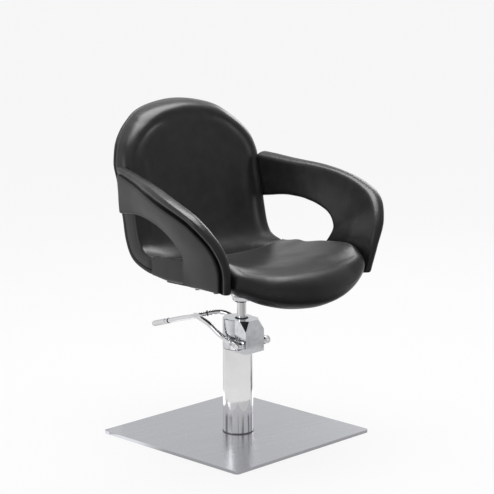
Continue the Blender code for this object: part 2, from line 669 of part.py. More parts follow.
def build_mount(cast, steel, board_mat):
    """Hub on the piston, steel plate, its four bolts and the plywood board."""
    lean = Matrix.Translation((0.0, 0.0, HUB_TOP)) @ Matrix.Rotation(-atan2(SEAT_TILT, 1.0), 4, "X")
    lean = lean @ Matrix.Translation((0.0, 0.0, -HUB_TOP))
    hub = [(ROD_R + GAP, HUB_BOTTOM), (0.0200, HUB_BOTTOM), (0.0240, HUB_BOTTOM + 0.004),
           (0.0265, HUB_BOTTOM + 0.014), (0.0330, HUB_BOTTOM + 0.026), (0.0480, HUB_TOP - 0.010),
           (0.0500, HUB_TOP - 0.008), (0.0500, HUB_TOP + 0.010), (0.0, HUB_TOP + 0.010),
           (0.0, ROD_TOP + GAP), (ROD_R + GAP, ROD_TOP + GAP)]
    hub = lathe("swivel_hub", hub, cast, sides=48)
    slab = prism("slab", rounded_rectangle(0.0, 0.0, 0.1, 0.1, 0.01), HUB_TOP - GAP,
                 HUB_TOP + 0.04, cast)
    slab.matrix_world = lean
    combine(hub, slab, "DIFFERENCE")
    hub.data.set_sharp_from_angle(angle=radians(35))
    outline = rounded_rectangle(0.0, -0.005, 0.128, 0.062, 0.010)
    plate = prism("mounting_plate", outline, HUB_TOP, MOUNT_TOP, steel, bevel=0.0006)
    places = [(sx * 0.114, -0.005 + sy * 0.042) for sx in (1, -1) for sy in (1, -1)]
    for k, (x, y) in enumerate(places):
        hole = lathe("hole", disc(0.0043, HUB_TOP - 0.01, MOUNT_TOP + 0.01), steel, (x, y, 0.0), 16)
        combine(plate, hole, "DIFFERENCE")
        top = BOARD_TOP - 0.0012
        bolt = [(0.0, HUB_TOP - 0.0062), (0.0058, HUB_TOP - 0.0062), (0.0065, HUB_TOP - 0.0055),
                (0.0065, HUB_TOP - GAP), (0.0040, HUB_TOP - GAP), (0.0040, top), (0.0, top)]
        bolt = lathe("mounting_bolt_%d" % (k + 1), bolt, steel, (x, y, 0.0), 16)
        bolt.matrix_world = lean
    outline = rounded_rectangle(0.0, 0.011, 0.142, 0.149, 0.030)
    board = prism("seat_board", outline, MOUNT_TOP + GAP, BOARD_TOP, board_mat, bevel=0.0008)
    for x, y in places:
        hole = lathe("hole", disc(0.0044, MOUNT_TOP - 0.01, BOARD_TOP - 0.0009), board_mat,
                     (x, y, 0.0), 16)
        combine(board, hole, "DIFFERENCE")
    plate.matrix_world = lean
    board.matrix_world = lean


def main():
    clear_scene()
    leather = material("black_leather", (0.02, 0.02, 0.021), 0.0, 0.42)
    shell_leather = material("black_shell_leather", (0.024, 0.024, 0.025), 0.0, 0.48)
    steel = material("brushed_steel", (0.60, 0.60, 0.59), 1.0, 0.32)
    chrome = material("polished_chrome", (0.86, 0.86, 0.87), 1.0, 0.07)
    cast = material("cast_metal", (0.55, 0.55, 0.54), 1.0, 0.38)
    dark = material("dark_trim", (0.04, 0.04, 0.042), 0.3, 0.40)
    board_mat = material("black_board", (0.02, 0.02, 0.02), 0.0, 0.62)
    build_base(steel, chrome, cast, dark)
    build_lever(chrome, dark, steel)
    build_plunger(steel)
    build_lift(chrome, steel)
    build_mount(cast, steel, board_mat)
    build_back(leather, shell_leather)
    build_seat(leather)
    build_arm("right", 1, leather, shell_leather)
    build_arm("left", -1, leather, shell_leather)


main()
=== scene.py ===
"""Looks of the styling chair: leather upholstery, chromed pump, brushed plate, stage and camera.

Everything is in metres in the CAD frame: the seat faces -Y, Z is up, the floor is z = 0.
"""
import json
from math import atan2, cos, exp, pi, radians, sin, sqrt
import bmesh
import bpy
import numpy as np
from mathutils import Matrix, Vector, noise


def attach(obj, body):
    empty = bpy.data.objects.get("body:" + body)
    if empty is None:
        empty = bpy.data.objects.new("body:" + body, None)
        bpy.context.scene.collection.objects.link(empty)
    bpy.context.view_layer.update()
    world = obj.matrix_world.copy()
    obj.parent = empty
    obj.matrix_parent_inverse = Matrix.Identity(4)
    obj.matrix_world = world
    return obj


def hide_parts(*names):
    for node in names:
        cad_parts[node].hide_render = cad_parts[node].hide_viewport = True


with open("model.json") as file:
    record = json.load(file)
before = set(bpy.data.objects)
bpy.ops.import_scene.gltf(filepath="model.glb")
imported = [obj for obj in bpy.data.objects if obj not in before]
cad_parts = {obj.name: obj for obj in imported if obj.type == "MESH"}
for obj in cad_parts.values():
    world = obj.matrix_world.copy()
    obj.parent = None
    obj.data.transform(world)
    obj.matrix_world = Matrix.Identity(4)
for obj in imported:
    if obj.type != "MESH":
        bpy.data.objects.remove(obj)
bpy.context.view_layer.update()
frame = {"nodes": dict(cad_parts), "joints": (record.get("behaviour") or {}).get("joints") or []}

# ---------------------------------------------------------------- driving values
# the plate, the pump and its lever stand turned against the seat
BASE_TURN = radians(10.0)
# clearance of a cover from the plane where it meets the next one
SKIN_GAP = 0.0004

# cells along each side of a cushion's square grids, and the rounds that even them out
BACK_CELLS = 56
REAR_CELLS = 44
SEAT_CELLS = 56
GRID_ROUNDS = 400
OUTLINE_STEPS = 160

# the back: half width, wrap round the sitter, cushion and shell, and the shoulders' flare
BACK_HALF = 0.21
BACK_WRAP = 0.012
REAR_WRAP = 0.002
BACK_SPLIT = 0.0125
BACK_FOOT_Z = 0.470
SHOULDER_Z = 0.66
SHOULDER_RADIUS = 0.19
SHOULDER_FLARE = 0.0045
CROWN_FLARE = 0.0015

# the seat: half width, and where its rear end passes under the back
SEAT_HALF = 0.207
SEAT_REAR_Y = 0.060

# the arms: outer panel's thickness, inner face beside the seat, and stations along them
PANEL_DEPTH = 0.0110
ARM_INNER_X = 0.2062
ARM_STEPS = 96

# stitches: the thread, and the points of their lanes
THREAD_RADIUS = 0.00042
THREAD_SIDES = 6
REAR_LANE_POINTS = 260
REAR_LANE_INSET = 0.0185
ARM_LANE_STEPS = 240

# the studio: brightness of the visible floor, and the reflector round the column's foot
WHITE = (1.0, 1.0, 1.0, 1.0)
FLOOR_LEVEL = 0.895
CARD_TURN = radians(-125.0)
CARD_STEP = radians(8.0)
CARD_CELLS = 28
CARD_RADIUS = 0.352
CARD_HEIGHT = 0.160


# ---------------------------------------------------------------- node helpers
class Nodes:
    """Short hand for building one material's node tree."""

    def __init__(self, name):
        self.mat = bpy.data.materials.new(name)
        self.mat.use_nodes = True
        self.tree = self.mat.node_tree
        self.shader = self.tree.nodes["Principled BSDF"]
        self.coords = self.tree.nodes.new("ShaderNodeTexCoord")

    def set(self, **values):
        """Constants on the shader's own sockets, with _ for the spaces in their names."""
        for key, value in values.items():
            self.shader.inputs[key.replace("_", " ")].default_value = value

    def add(self, kind, inputs=None, **settings):
        node = self.tree.nodes.new(kind)
        for key, value in settings.items():
            setattr(node, key, value)
        for key, value in (inputs or {}).items():
            self.feed(node.inputs[key], value)
        return node

    def feed(self, socket, value):
        if isinstance(value, bpy.types.NodeSocket):
            self.tree.links.new(value, socket)
        else:
            socket.default_value = value

    def place(self, scale=(1.0, 1.0, 1.0), turn=(0.0, 0.0, 0.0)):
        """Object coordinates in metres, stretched and turned."""
        return self.add("ShaderNodeMapping", {"Vector": self.coords.outputs["Object"],
                                              "Scale": scale, "Rotation": turn}).outputs[0]

    def noise(self, where, scale, detail=3.0, rough=0.55):
        return self.add("ShaderNodeTexNoise", {"Vector": where, "Scale": scale, "Detail": detail,
                                               "Roughness": rough}).outputs["Fac"]

    def remap(self, value, low, high, to_low, to_high):
        return self.add("ShaderNodeMapRange", {"Value": value, "From Min": low, "From Max": high,
                                               "To Min": to_low, "To Max": to_high}).outputs[0]

    def math(self, operation, a, b=0.0):
        node = self.add("ShaderNodeMath", operation=operation)
        self.feed(node.inputs[0], a)
        self.feed(node.inputs[1], b)
        return node.outputs[0]

    def mix(self, factor, a, b):
        node = self.add("ShaderNodeMix", data_type="RGBA")
        self.feed(node.inputs[0], factor)
        self.feed(node.inputs[6], a)
        self.feed(node.inputs[7], b)
        return node.outputs[2]

    def bump(self, height, depth, distance=0.001, below=None):
        inputs = {"Height": height, "Strength": depth, "Distance": distance}
        if below is not None:
            inputs["Normal"] = below
        return self.add("ShaderNodeBump", inputs).outputs[0]


def grey(level):
    """A very slightly cool grey."""
    return (level, level, level * 1.01, 1.0)


def leather(name, dark, light, rough_low, rough_high):
    """Satin synthetic leather: pebbled grain, fine pores, slow gloss changes and rubbed edges."""
    n = Nodes(name)
    where = n.place()
    grain = n.add("ShaderNodeTexVoronoi", {"Vector": where, "Scale": 760.0, "Randomness": 0.95},
                  feature="SMOOTH_F1").outputs["Distance"]
    creases = n.add("ShaderNodeTexVoronoi", {"Vector": where, "Scale": 300.0},
                    feature="DISTANCE_TO_EDGE").outputs["Distance"]
    fine = n.noise(where, 1800.0, 2.0)
    broad = n.noise(where, 7.0, 3.0)
    cloud = n.noise(where, 38.0, 4.0)
    wear = n.add("ShaderNodeNewGeometry").outputs["Pointiness"]
    rubbed = n.remap(wear, 0.505, 0.56, 0.0, 0.35)
    base = n.mix(n.remap(cloud, 0.3, 0.7, 0.0, 1.0), grey(dark), grey(light))
    n.feed(n.shader.inputs["Base Color"], n.mix(rubbed, base, grey(light * 2.2)))
    gloss = n.remap(broad, 0.3, 0.7, rough_low, rough_high)
    n.feed(n.shader.inputs["Roughness"], n.math("ADD", gloss, n.remap(grain, 0.0, 0.6, -0.03, 0.05)))
    edges = n.remap(creases, 0.0, 0.12, 0.0, 1.0)
    height = n.math("ADD", n.math("MULTIPLY", edges, 0.5), n.math("MULTIPLY", fine, 0.25))
    height = n.math("SUBTRACT", height, n.math("MULTIPLY", grain, 0.7))
    n.feed(n.shader.inputs["Normal"], n.bump(height, 0.32, 0.00022))
    n.set(Specular_IOR_Level=0.36)
    return n.mat


def chrome(name, tint=1.0, reflection_streak=0.0):
    """Polished plating with faint hazing, wipe marks and an uneven casting below it.

    The third argument sets the painted reflection: dark upright streaks painted on the lowest 60 mm, where
    the tube meets its foot ring, standing for the plate and the studio mirrored there.
    """
    n = Nodes(name)
    where = n.place()
    haze = n.noise(where, 26.0, 4.0)
    smear = n.noise(n.place((60.0, 60.0, 9.0)), 1.0, 3.0)
    pits = n.noise(where, 900.0, 2.0)
    rough = n.math("ADD", n.remap(haze, 0.35, 0.75, 0.035, 0.075), n.remap(smear, 0.4, 0.8, 0.0, 0.03))
    n.feed(n.shader.inputs["Roughness"], rough)
    plating = n.mix(n.remap(haze, 0.3, 0.7, 0.0, 1.0), grey(0.82 * tint), grey(0.88 * tint))
    # painted reflection: dark upright streaks on the tube's foot, in place of the mirrored plate and
    # studio
    if reflection_streak > 0.0:
        reflection_lines = n.remap(n.noise(n.place((85.0, 85.0, 2.0)), 1.0, 2.0), 0.47, 0.56, 0.0, reflection_streak)
        height = n.add("ShaderNodeSeparateXYZ", {0: where}).outputs["Z"]
        low = n.remap(height, 0.052, 0.066, 1.0, 0.0)
        plating = n.mix(n.math("MULTIPLY", reflection_lines, low), plating, grey(0.20))
    n.feed(n.shader.inputs["Base Color"], plating)
    wave = n.bump(n.noise(where, 42.0, 2.0), 0.10, 0.0012)
    n.feed(n.shader.inputs["Normal"], n.bump(pits, 0.03, 0.0002, wave))
    n.set(Metallic=1.0)
    return n.mat


def cast_chrome(name):
    """Plated casting: like chrome, with the sand casting's ripple showing through."""
    n = Nodes(name)
    where = n.place()
    ripple = n.noise(where, 70.0, 4.0, 0.6)
    haze = n.noise(where, 20.0, 3.0)
    n.feed(n.shader.inputs["Roughness"], n.remap(haze, 0.3, 0.7, 0.07, 0.16))
    n.feed(n.shader.inputs["Base Color"],
           n.mix(n.remap(ripple, 0.3, 0.7, 0.0, 1.0), (0.60, 0.61, 0.63, 1.0), (0.74, 0.75, 0.77, 1.0)))
    n.feed(n.shader.inputs["Normal"], n.bump(ripple, 0.22, 0.0009))
    n.set(Metallic=1.0)
    return n.mat


def brushed(name, tint, rough_low, rough_high, turn, sheet=True):
    """Brushed sheet steel: long fine scratches in one direction over a cloudy sheen."""
    n = Nodes(name)
    along = n.place((4.0, 900.0, 900.0), (0.0, 0.0, turn))
    coarse = n.place((1.6, 160.0, 160.0), (0.0, 0.0, turn))
    fine = n.noise(along, 1.0, 3.0, 0.7)
    band = n.noise(coarse, 1.0, 4.0, 0.6)
    cloud = n.noise(n.place(), 5.0, 3.0)
    marks = n.noise(n.place(), 55.0, 5.0, 0.7)
    tone = n.remap(n.math("ADD", n.math("MULTIPLY", band, 0.6), n.math("MULTIPLY", fine, 0.4)),
                   0.3, 0.7, 0.0, 1.0)
    dark = (*(part * 0.94 for part in tint), 1.0)
    light = (*(min(part * 1.05, 1.0) for part in tint), 1.0)
    n.feed(n.shader.inputs["Base Color"], n.mix(tone, dark, light))
    rough = n.remap(cloud, 0.3, 0.7, rough_low, rough_high)
    rough = n.math("ADD", rough, n.remap(marks, 0.55, 0.85, 0.0, 0.10))
    n.feed(n.shader.inputs["Roughness"], n.math("ADD", rough, n.remap(fine, 0.3, 0.7, -0.03, 0.05)))
    n.feed(n.shader.inputs["Normal"], n.bump(fine, 0.10 if sheet else 0.06, 0.0002))
    n.set(Metallic=1.0)
    return n.mat


def cast(name):
    """Bare satin casting."""
    n = Nodes(name)
    where = n.place()
    lumps = n.noise(where, 160.0, 5.0, 0.65)
    cloud = n.noise(where, 22.0, 3.0)
    n.feed(n.shader.inputs["Base Color"],
           n.mix(n.remap(cloud, 0.3, 0.7, 0.0, 1.0), (0.42, 0.42, 0.41, 1.0), (0.60, 0.60, 0.58, 1.0)))
    n.feed(n.shader.inputs["Roughness"], n.remap(lumps, 0.3, 0.7, 0.28, 0.50))
    n.feed(n.shader.inputs["Normal"], n.bump(lumps, 0.25, 0.0005))
    n.set(Metallic=1.0)
    return n.mat


def rubber(name):
    """Black rubber with a little dust."""
    n = Nodes(name)
    where = n.place()
    speck = n.noise(where, 700.0, 3.0)
    dust = n.noise(where, 30.0, 4.0)
    n.feed(n.shader.inputs["Base Color"],
           n.mix(n.remap(dust, 0.45, 0.8, 0.0, 1.0), grey(0.018), grey(0.05)))
    n.feed(n.shader.inputs["Roughness"], n.remap(dust, 0.3, 0.7, 0.42, 0.62))
    n.feed(n.shader.inputs["Normal"], n.bump(speck, 0.15, 0.0002))
    return n.mat


def board(name):
    """Plywood under black paint: raised wood grain on the face, plies on the edge."""
    n = Nodes(name)
    grain = n.noise(n.place((6.0, 90.0, 90.0)), 1.0, 4.0, 0.65)
    plies = n.add("ShaderNodeTexWave", {"Vector": n.place(), "Scale": 110.0, "Distortion": 1.5},
                  bands_direction="Z").outputs["Fac"]
    chips = n.noise(n.place(), 120.0, 4.0)
    paint = n.mix(n.remap(grain, 0.3, 0.7, 0.0, 1.0), grey(0.012), grey(0.026))
    n.feed(n.shader.inputs["Base Color"],
           n.mix(n.remap(chips, 0.70, 0.78, 0.0, 0.6), paint, (0.16, 0.10, 0.055, 1.0)))
    n.feed(n.shader.inputs["Roughness"], n.remap(grain, 0.3, 0.7, 0.5, 0.72))
    height = n.math("ADD", grain, n.math("MULTIPLY", plies, 0.3))
    n.feed(n.shader.inputs["Normal"], n.bump(height, 0.2, 0.0004))
    return n.mat


def thread(name):
    """Twisted black sewing thread."""
    n = Nodes(name)
    twist = n.add("ShaderNodeTexWave", {"Vector": n.place(), "Scale": 900.0, "Distortion": 2.0},
                  bands_direction="DIAGONAL").outputs["Fac"]
    n.feed(n.shader.inputs["Base Color"], n.mix(twist, grey(0.012), grey(0.035)))
    n.feed(n.shader.inputs["Normal"], n.bump(twist, 0.4, 0.0002))
    n.set(Roughness=0.6)
    return n.mat


# ---------------------------------------------------------------- curves and meshes
def blend(a, b, t):
    """Smooth step from a, where t is 0 or less, to b, where t is 1 or more."""
    t = min(max(t, 0.0), 1.0)
    return a + (b - a) * t * t * (3.0 - 2.0 * t)


def spline(points, t):
    """Smooth curve through evenly counted control points, t from 0 to 1."""
    last = len(points) - 1
    place = min(max(t, 0.0), 1.0) * last
    k = min(int(place), last - 1)
    f = place - k
    p1 = Vector(points[k])
    p2 = Vector(points[k + 1])
    p0 = Vector(points[k - 1]) if k > 0 else p1 * 2.0 - p2
    p3 = Vector(points[k + 2]) if k + 2 <= last else p2 * 2.0 - p1
    a = p1 * 2.0
    b = (p2 - p0) * f
    c = (p0 * 2.0 - p1 * 5.0 + p2 * 4.0 - p3) * f * f
    d = (p1 * 3.0 - p0 - p2 * 3.0 + p3) * f * f * f
    return (a + b + c + d) * 0.5


def half_outline(points, steps):
    """Mirror a half outline (starting and ending on x = 0) into a closed loop."""
    first = Vector((-points[1][0], points[1][1]))
    after = Vector((-points[-2][0], points[-2][1]))
    full = [first] + [Vector(p) for p in points] + [after]
    lead = 1.0 / (len(full) - 1)
    half = [spline(full, lead + (1.0 - 2.0 * lead) * k / steps) for k in range(steps + 1)]
    half[0].x = 0.0
    half[-1].x = 0.0
    other = [Vector((-p.x, p.y)) for p in reversed(half[1:-1])]
    return half + other


def make(name, verts, faces, mat, body):
    """A smooth mesh object, riding on its body; stage pieces have none."""
    mesh = bpy.data.meshes.new(name)
    mesh.from_pydata([tuple(v) for v in verts], [], faces)
    mesh.materials.append(mat)
    mesh.update()
    bm = bmesh.new()
    bm.from_mesh(mesh)
    bmesh.ops.recalc_face_normals(bm, faces=bm.faces[:])
    bm.to_mesh(mesh)
    bm.free()
    for poly in mesh.polygons:
        poly.use_smooth = True
    obj = bpy.data.objects.new(name, mesh)
    bpy.context.scene.collection.objects.link(obj)
    if body:
        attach(obj, body)
    return obj


# ---------------------------------------------------------------- upholstery: shared shape tools
def even(loop, count):
    """The same closed loop with count evenly spaced points, starting at its first point."""
    lengths = [0.0]
    for i in range(len(loop)):
        lengths.append(lengths[-1] + (loop[(i + 1) % len(loop)] - loop[i]).length)
    spaced, k = [], 0
    for i in range(count):
        goal = lengths[-1] * i / count
        while lengths[k + 1] < goal:
            k += 1
        share = (goal - lengths[k]) / (lengths[k + 1] - lengths[k])
        spaced.append(loop[k].lerp(loop[(k + 1) % len(loop)], share))
    return spaced


def inward_normals(loop):
    """Unit vectors square to a closed plan loop, towards its inside."""
    count = len(loop)
    area = sum(loop[i - 1].x * loop[i].y - loop[i].x * loop[i - 1].y for i in range(count))
    turn = 1.0 if area > 0 else -1.0
    normals = []
    for i in range(count):
        side = loop[(i + 1) % count] - loop[i - 1]
        normals.append(Vector((-side.y, side.x)).normalized() * turn)
    return normals


def fill_grid(edge):
    """Square grid of plan points inside a loop of 4 * side points, relaxed until even."""
    side = len(edge) // 4
    e = np.array([[p.x, p.y] for p in edge])
    a, b = e[0:side + 1], e[side:2 * side + 1]
    c, d = e[2 * side:3 * side + 1][::-1], np.vstack([e[3 * side:], e[:1]])[::-1]
    u = np.linspace(0.0, 1.0, side + 1)[None, :, None]
    v = np.linspace(0.0, 1.0, side + 1)[:, None, None]
    grid = (1 - v) * a[None] + v * c[None] + (1 - u) * d[:, None] + u * b[:, None]
    grid -= ((1 - u) * (1 - v) * a[0] + u * (1 - v) * a[-1] + u * v * c[-1] + (1 - u) * v * c[0])
    for _ in range(GRID_ROUNDS):
        grid[1:-1, 1:-1] = 0.25 * (grid[:-2, 1:-1] + grid[2:, 1:-1] + grid[1:-1, :-2] + grid[1:-1, 2:])
    return grid


def edge_distance(points, loop):
    """Distance from plan points to the nearest stretch of the loop."""
    a = np.array([[p.x, p.y] for p in loop])
    b = np.roll(a, -1, axis=0)
    ab = b - a
    best = np.full(len(points), np.inf)
    for start, way in zip(a, ab):
        t = np.clip(((points - start) @ way) / (way @ way), 0.0, 1.0)
        best = np.minimum(best, np.linalg.norm(points - (start + t[:, None] * way), axis=1))
    return best


def cushion(name, outline, side, place, top, bottom, profile, mat, body):
    """Closed all-quad cushion: a top grid, the profile's rings down its side, and a bottom grid.

    profile(p) gives, for one outline point, the ring list [(inset, drop or None, lift or None)]:
    drop is measured from the top surface, lift from the bottom one, each towards the other.
    The object comes back with the vertex numbers of each ring, the top's first.
    """
    loop = even(outline, 4 * side)
    loop = [loop[(k - side // 2) % len(loop)] for k in range(len(loop))]
    inward = inward_normals(loop)
    columns = [profile(p) for p in loop]
    levels = len(columns[0])
    verts, faces = [], []

    def ring_plan(level):
        return [loop[i] + inward[i] * columns[i][level][0] for i in range(len(loop))]

    def add_grid(plan, height):
        grid = fill_grid(plan)
        spans = edge_distance(grid.reshape(-1, 2), loop).reshape(grid.shape[:2])
        index = {}
        for j in range(side + 1):
            for i in range(side + 1):
                x, y = grid[j, i]
                index[j, i] = len(verts)
                verts.append(place(x, y, height(x, y, spans[j, i])))
        for j in range(side):
            for i in range(side):
                faces.append((index[j, i], index[j, i + 1], index[j + 1, i + 1], index[j + 1, i]))
        rim = [index[0, i] for i in range(side)] + [index[j, side] for j in range(side)]
        rim += [index[side, side - i] for i in range(side)] + [index[side - j, 0] for j in range(side)]
        return rim

    first = ring_plan(0)
    rows = [add_grid(first, top)]
    for level in range(1, levels - 1):
        row = []
        for i, p in enumerate(ring_plan(level)):
            _, drop, lift = columns[i][level]
            if drop is not None:
                foot = loop[i] + inward[i] * columns[i][0][0]
                high = top(foot.x, foot.y, columns[i][0][0])
                h = high + drop * (1.0 if high < bottom(foot.x, foot.y, 0.0) else -1.0)
            else:
                foot = loop[i] + inward[i] * columns[i][-1][0]
                low = bottom(foot.x, foot.y, columns[i][-1][0])
                h = low + lift * (-1.0 if top(foot.x, foot.y, 0.0) < low else 1.0)
            row.append(len(verts))
            verts.append(place(p.x, p.y, h))
        rows.append(row)
    rows.append(add_grid(ring_plan(levels - 1), bottom))
    count = len(loop)
    for upper, lower in zip(rows[:-1], rows[1:]):
        for i in range(count):
            j = (i + 1) % count
            faces.append((upper[i], upper[j], lower[j], lower[i]))
    obj = make(name, verts, faces, mat, body)
    return obj, rows


def quarter(radius, steps, rising=False):
    """Quarter-round profile as (inset, height) pairs from the flat to the upright side."""
    pairs = []
    for k in range(steps + 1):
        angle = pi / 2 * k / steps
        pairs.append((radius * (1 - sin(angle)), radius * (1 - cos(angle))))
    return pairs[::-1] if rising else pairs


def soften(obj, moves, held, rounds):
    """Average a displacement field over the mesh, holding the sewn points still."""
    edges = np.array([e.vertices[:] for e in obj.data.edges])
    degree = np.bincount(edges.ravel(), minlength=len(moves))[:, None]
    for _ in range(rounds):
        total = np.zeros_like(moves)
        np.add.at(total, edges[:, 0], moves[edges[:, 1]])
        np.add.at(total, edges[:, 1], moves[edges[:, 0]])
        moves = 0.5 * moves + 0.5 * total / degree
        moves[held] = 0.0
    return moves


def coordinates(mesh):
    """Every vertex's place, one row each."""
    flat = np.zeros(len(mesh.vertices) * 3)
    mesh.vertices.foreach_get("co", flat)
    return flat.reshape(-1, 3)


def normals(mesh):
    """Every vertex's outward normal, one row each."""
    flat = np.zeros(len(mesh.vertices) * 3)
    mesh.vertices.foreach_get("normal", flat)
    return flat.reshape(-1, 3)


def inflate(obj, sewn, pressure, frames, cap):
    """Cloth simulation: the cover swells under its filling between the sewn rows, by cap at most.

    Only the outward part of each point's movement counts, so the cover never sinks in.
    """
    scene = bpy.context.scene
    start = coordinates(obj.data)
    held = np.zeros(len(start), bool)
    held[list(sewn)] = True
    group = obj.vertex_groups.new(name="sewn")
    group.add(list(sewn), 1.0, "REPLACE")
    cloth = obj.modifiers.new("cover", "CLOTH")
    cloth.settings.vertex_group_mass = "sewn"
    cloth.settings.quality = 6
    cloth.settings.mass = 0.35
    cloth.settings.tension_stiffness = 40.0
    cloth.settings.compression_stiffness = 40.0
    cloth.settings.bending_stiffness = 4.0
    cloth.settings.use_pressure = True
    cloth.settings.uniform_pressure_force = pressure
    cloth.settings.effector_weights.gravity = 0.0
    cloth.point_cache.frame_start = 1
    cloth.point_cache.frame_end = frames
    for step in range(1, frames + 1):
        scene.frame_set(step)
    graph = bpy.context.evaluated_depsgraph_get()
    swollen = coordinates(obj.evaluated_get(graph).data)
    scene.frame_set(1)
    obj.modifiers.remove(cloth)
    moves = swollen - start
    outward = normals(obj.data)
    sunk = np.minimum((moves * outward).sum(axis=1, keepdims=True), 0.0)
    moves -= outward * sunk
    reach = np.linalg.norm(moves, axis=1, keepdims=True)
    moves *= np.minimum(1.0, cap / np.maximum(reach, 1e-9))
    moves[held] = 0.0
    moves = soften(obj, moves, held, 12)
    obj.data.vertices.foreach_set("co", (start + moves).ravel())
    obj.data.update()


def refine(obj):
    """One applied subdivision, with the surface kept smooth."""
    step = obj.modifiers.new("fine", "SUBSURF")
    step.levels = 1
    step.render_levels = 1
    graph = bpy.context.evaluated_depsgraph_get()
    mesh = bpy.data.meshes.new_from_object(obj.evaluated_get(graph))
    obj.modifiers.remove(step)
    obj.data = mesh
    for poly in mesh.polygons:
        poly.use_smooth = True


def settle(obj, rule):
    """Move each point along its own normal by rule(position)."""
    mesh = obj.data
    spots = [(v.co.copy(), v.normal.copy()) for v in mesh.vertices]
    for v, (spot, out) in zip(mesh.vertices, spots):
        v.co = spot + out * rule(spot)
    mesh.update()


def ripple(spot, scale, seed):
    """Smooth unevenness from -1 to 1; seed shifts the pattern."""
    return noise.noise(spot * scale + Vector((seed, seed * 0.7, seed * 1.3)))


def stitches(name, host, path, mat, body, pitch=0.0042, length=0.0030):
    """A row of short thread loops lying on the host's surface along a path."""
    loop = ((-0.5, -0.0003, 0.5), (-0.28, 0.00022, 1.0), (0.0, 0.00034, 1.0), (0.28, 0.00022, 1.0),
            (0.5, -0.0003, 0.5))
    verts, faces = [], []
    travelled, wanted = 0.0, 0.0
    sides = THREAD_SIDES
    for a, b in zip(path[:-1], path[1:]):
        way = b - a
        span = way.length
        while wanted <= travelled + span:
            spot = a + way * ((wanted - travelled) / span)
            _, at, out, _ = host.closest_point_on_mesh(spot)
            ahead = (way - out * way.dot(out)).normalized()
            across = out.cross(ahead)
            base = len(verts)
            for share, lift, fat in loop:
                mid = at + ahead * (length * share) + out * lift
                for k in range(sides):
                    angle = 2 * pi * k / sides
                    verts.append(mid + (across * cos(angle) + out * sin(angle)) * THREAD_RADIUS * fat)
            for row in range(len(loop) - 1):
                for k in range(sides):
                    j = (k + 1) % sides
                    lower = base + row * sides
                    faces.append((lower + k, lower + j, lower + sides + j, lower + sides + k))
            faces.append(tuple(base + k for k in range(sides))[::-1])
            faces.append(tuple(base + (len(loop) - 1) * sides + k for k in range(sides)))
            wanted += pitch
        travelled += span
    return make(name, verts, faces, mat, body)


# ---------------------------------------------------------------- backrest
# half outline as (x, nominal height), from the foot's middle to the crown
BACK_OUTLINE = ((0.0, 0.4325), (0.110, 0.4325), (0.196, 0.4325), (0.2110, 0.4400), (0.2120, 0.4750),
                (0.2115, 0.530), (0.2110, 0.600), (0.2115, 0.660), (0.2185, 0.714), (0.1945, 0.7728),
                (0.1142, 0.8376), (0.0, 0.8620))
# up the back at its centre line and at its sides: height, front point and rear point as (y, z)
BACK_MIDDLE = ((0.4300, (0.0985, 0.4450), (0.1190, 0.4262)), (0.4520, (0.1130, 0.4680), (0.1500, 0.4335)),
               (0.4740, (0.1300, 0.4850), (0.1960, 0.4570)), (0.4980, (0.1500, 0.5050), (0.2320, 0.4830)),
               (0.5320, (0.1680, 0.5360), (0.2500, 0.5220)), (0.5700, (0.1820, 0.5700), (0.2640, 0.5680)),
               (0.6450, (0.2050, 0.6450), (0.2865, 0.6450)), (0.7400, (0.2300, 0.7400), (0.3070, 0.7400)),
               (0.8150, (0.2500, 0.8150), (0.3235, 0.8150)), (0.8700, (0.2635, 0.8700), (0.3300, 0.8700)))
BACK_SIDE = ((0.4300, (0.1100, 0.4885), (0.1130, 0.4395)), (0.4520, (0.1350, 0.4900), (0.1500, 0.4450)),
             (0.4740, (0.1560, 0.4960), (0.1960, 0.4575)), (0.4980, (0.1720, 0.5080), (0.2260, 0.4780)),
             (0.5320, (0.1840, 0.5340), (0.2480, 0.5170)), (0.5700, (0.1930, 0.5700), (0.2600, 0.5660)),
             (0.6450, (0.2080, 0.6450), (0.2830, 0.6450)), (0.7400, (0.2355, 0.7400), (0.2965, 0.7400)),
             (0.8150, (0.2545, 0.8150), (0.3150, 0.8150)), (0.8700, (0.2665, 0.8700), (0.3250, 0.8700)))


def station(rows, z):
    """Front and rear point at nominal height z, as (y, z) vectors."""
    last = len(rows) - 1
    z = min(max(z, rows[0][0]), rows[-1][0])
    k = max(i for i in range(last) if rows[i][0] <= z or i == 0)
    t = (k + (z - rows[k][0]) / (rows[k + 1][0] - rows[k][0])) / last
    return spline([row[1] for row in rows], t), spline([row[2] for row in rows], t)


def back_ends(x, z):
    """Front and rear point of the back at one width and nominal height."""
    share = min(abs(x) / BACK_HALF, 1.0) ** 3
    front, rear = station(BACK_MIDDLE, z)
    side_front, side_rear = station(BACK_SIDE, z)
    return front.lerp(side_front, share), rear.lerp(side_rear, share)


def back_place(x, z, depth):
    """Point at one depth behind the back's face.

    The back wraps round the sitter, and towards its rear it flares at the shoulders and the crown.
    """
    front, rear = back_ends(x, z)
    way = rear - front
    share = depth / way.length
    spot = front + way * share
    bow = BACK_WRAP + REAR_WRAP * share
    out = Vector((x, z - SHOULDER_Z))
    angle = atan2(z - SHOULDER_Z, abs(x))
    swell = SHOULDER_FLARE * exp(-((angle - radians(50.0)) / radians(21.0)) ** 2)
    swell += CROWN_FLARE * max(sin(angle), 0.0)
    spread = swell * min(out.length / SHOULDER_RADIUS, 1.0) ** 4 * min(max(share, 0.0), 1.0)
    if out.length > 0.0:
        out.normalize()
    return Vector((x + out.x * spread, spot.x - bow * (x / BACK_HALF) ** 2, spot.y + out.y * spread))


def back_thick(x, z):
    """Thickness of the back, shell included."""
    front, rear = back_ends(x, z)
    return (rear - front).length


